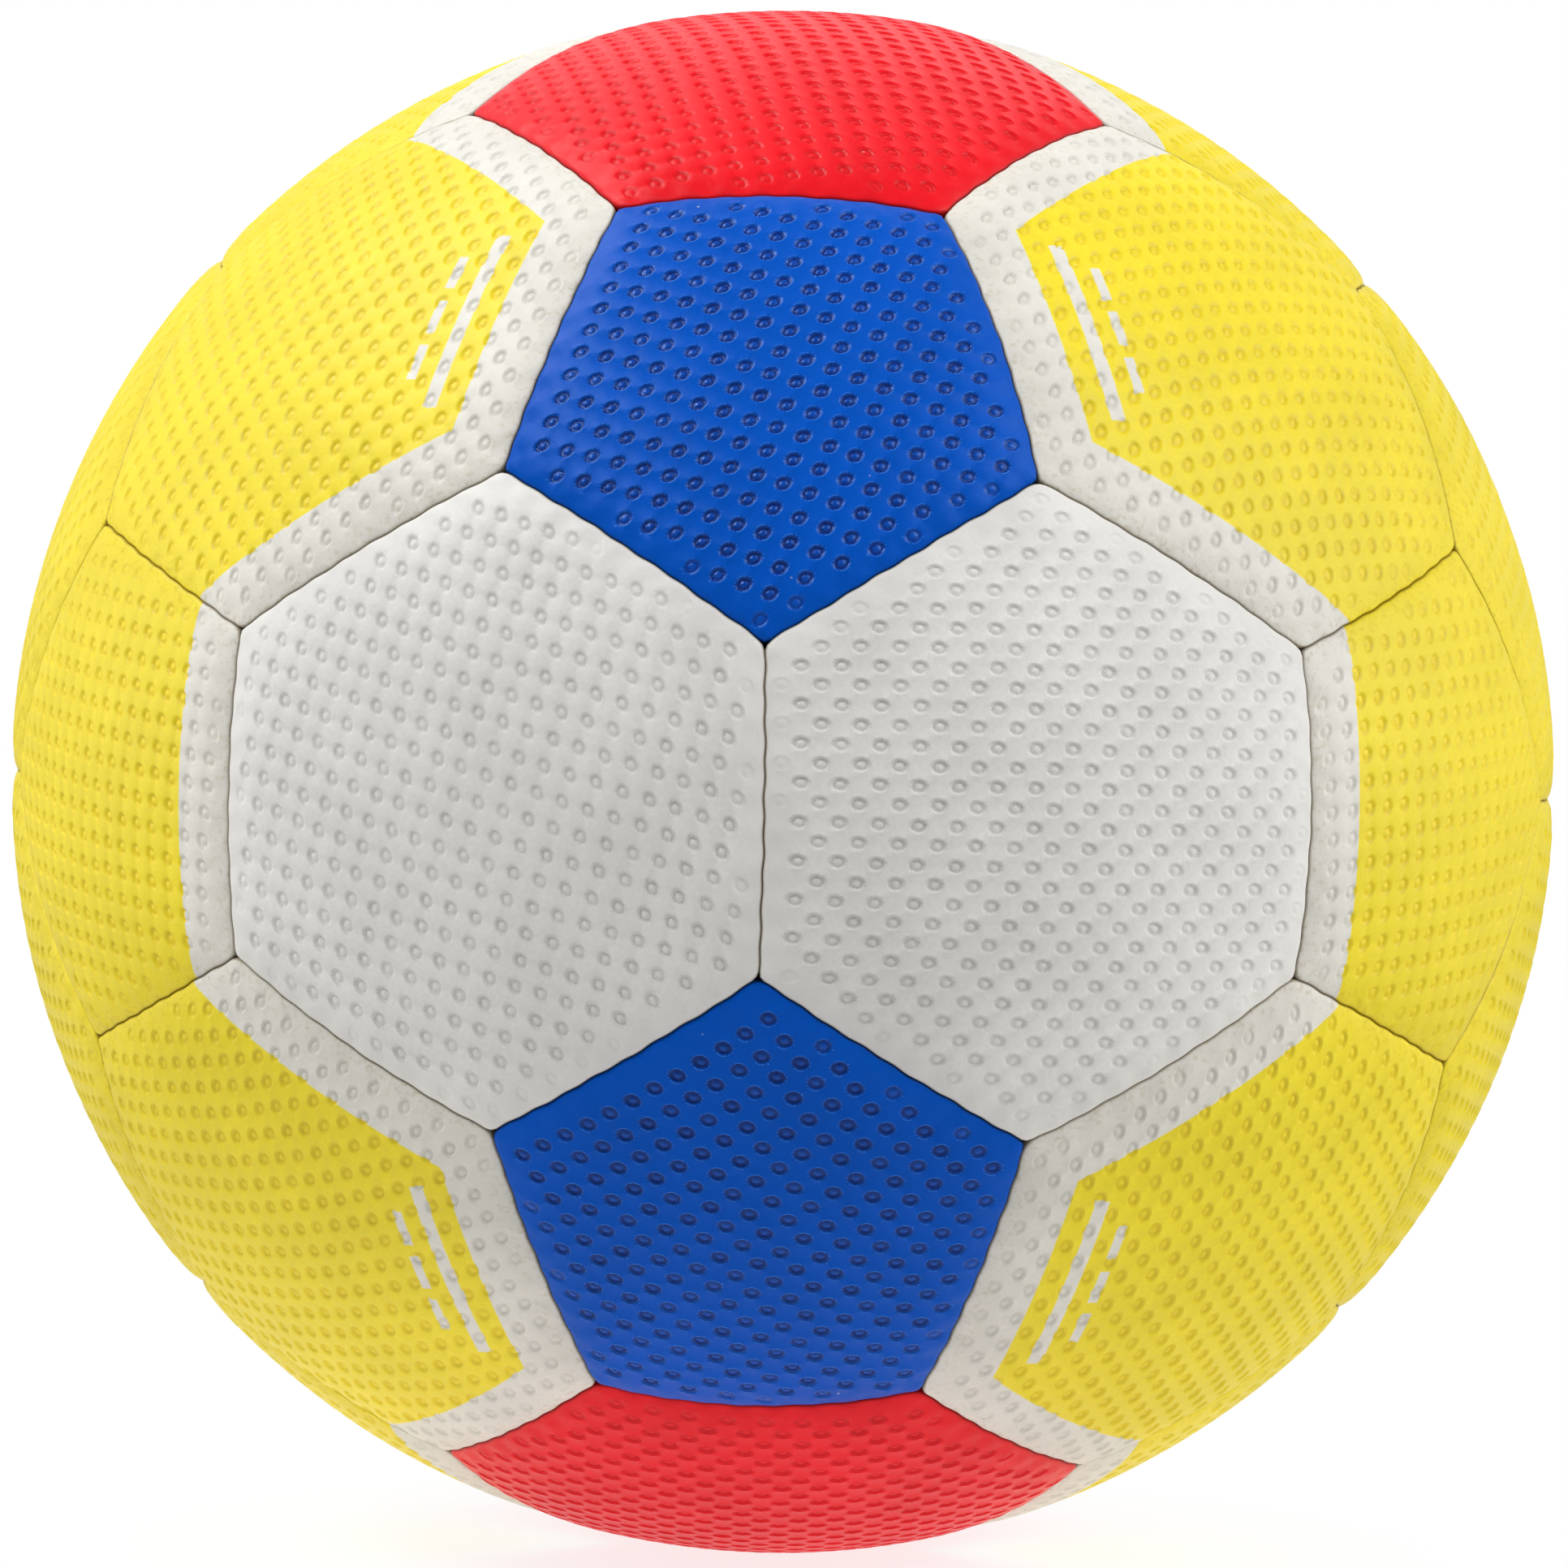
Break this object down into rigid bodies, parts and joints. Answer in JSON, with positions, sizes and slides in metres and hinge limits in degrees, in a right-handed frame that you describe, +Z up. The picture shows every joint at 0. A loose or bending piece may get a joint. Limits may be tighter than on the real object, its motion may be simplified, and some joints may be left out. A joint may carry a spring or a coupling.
{
  "type": "handball",
  "caption": "Hand-stitched dimpled handball with folded cover panels, foam and textile backing, a bladder and a needle valve.",
  "frame": {"origin": "centre of the ball", "axes": "+Z up, -Y towards the viewer of the picture, +X to the viewer's right; a seam crosses each axis"},
  "size_m": [0.175, 0.175, 0.175],
  "materials": {
    "cover_white": "dimpled synthetic leather, satin",
    "cover_blue": "dimpled synthetic leather, satin",
    "cover_red": "dimpled synthetic leather, satin",
    "cover_yellow": "dimpled synthetic leather, satin",
    "cover_banded": "dimpled synthetic leather, yellow print with white bands, satin",
    "foam": "fine closed-cell foam, matt",
    "lining": "woven cotton and polyester, matt",
    "bladder": "smooth latex rubber, satin",
    "valve_housing": "moulded rubber, satin",
    "valve_core": "moulded soft rubber, satin"
  },
  "bodies": {
    "root": {"bladder": "bladder", "hexagon_back_left": "cover_white", "hexagon_back_left_bottom": "cover_banded", "hexagon_back_left_top": "cover_banded", "hexagon_back_right": "cover_white", "hexagon_back_right_bottom": "cover_banded", "hexagon_back_right_top": "cover_banded", "hexagon_bottom_back": "cover_red", "hexagon_bottom_front": "cover_red", "hexagon_foam_backings": "foam", "hexagon_front_left": "cover_white", "hexagon_front_left_bottom": "cover_banded", "hexagon_front_left_top": "cover_banded", "hexagon_front_right": "cover_white", "hexagon_front_right_bottom": "cover_banded", "hexagon_front_right_top": "cover_banded", "hexagon_left_bottom": "cover_yellow", "hexagon_left_top": "cover_yellow", "hexagon_linings": "lining", "hexagon_right_bottom": "cover_yellow", "hexagon_right_top": "cover_yellow", "hexagon_top_back": "cover_red", "hexagon_top_front": "cover_red", "pentagon_back_bottom": "cover_blue", "pentagon_back_top": "cover_blue", "pentagon_bottom_left": "cover_banded", "pentagon_bottom_right": "cover_banded", "pentagon_foam_backings": "foam", "pentagon_front_bottom": "cover_blue", "pentagon_front_top": "cover_blue", "pentagon_left_back": "cover_banded", "pentagon_left_front": "cover_banded", "pentagon_linings": "lining", "pentagon_right_back": "cover_banded", "pentagon_right_front": "cover_banded", "pentagon_top_left": "cover_banded", "pentagon_top_right": "cover_banded", "valve_core": "valve_core", "valve_housing": "valve_housing"}
  },
  "joints": []
}
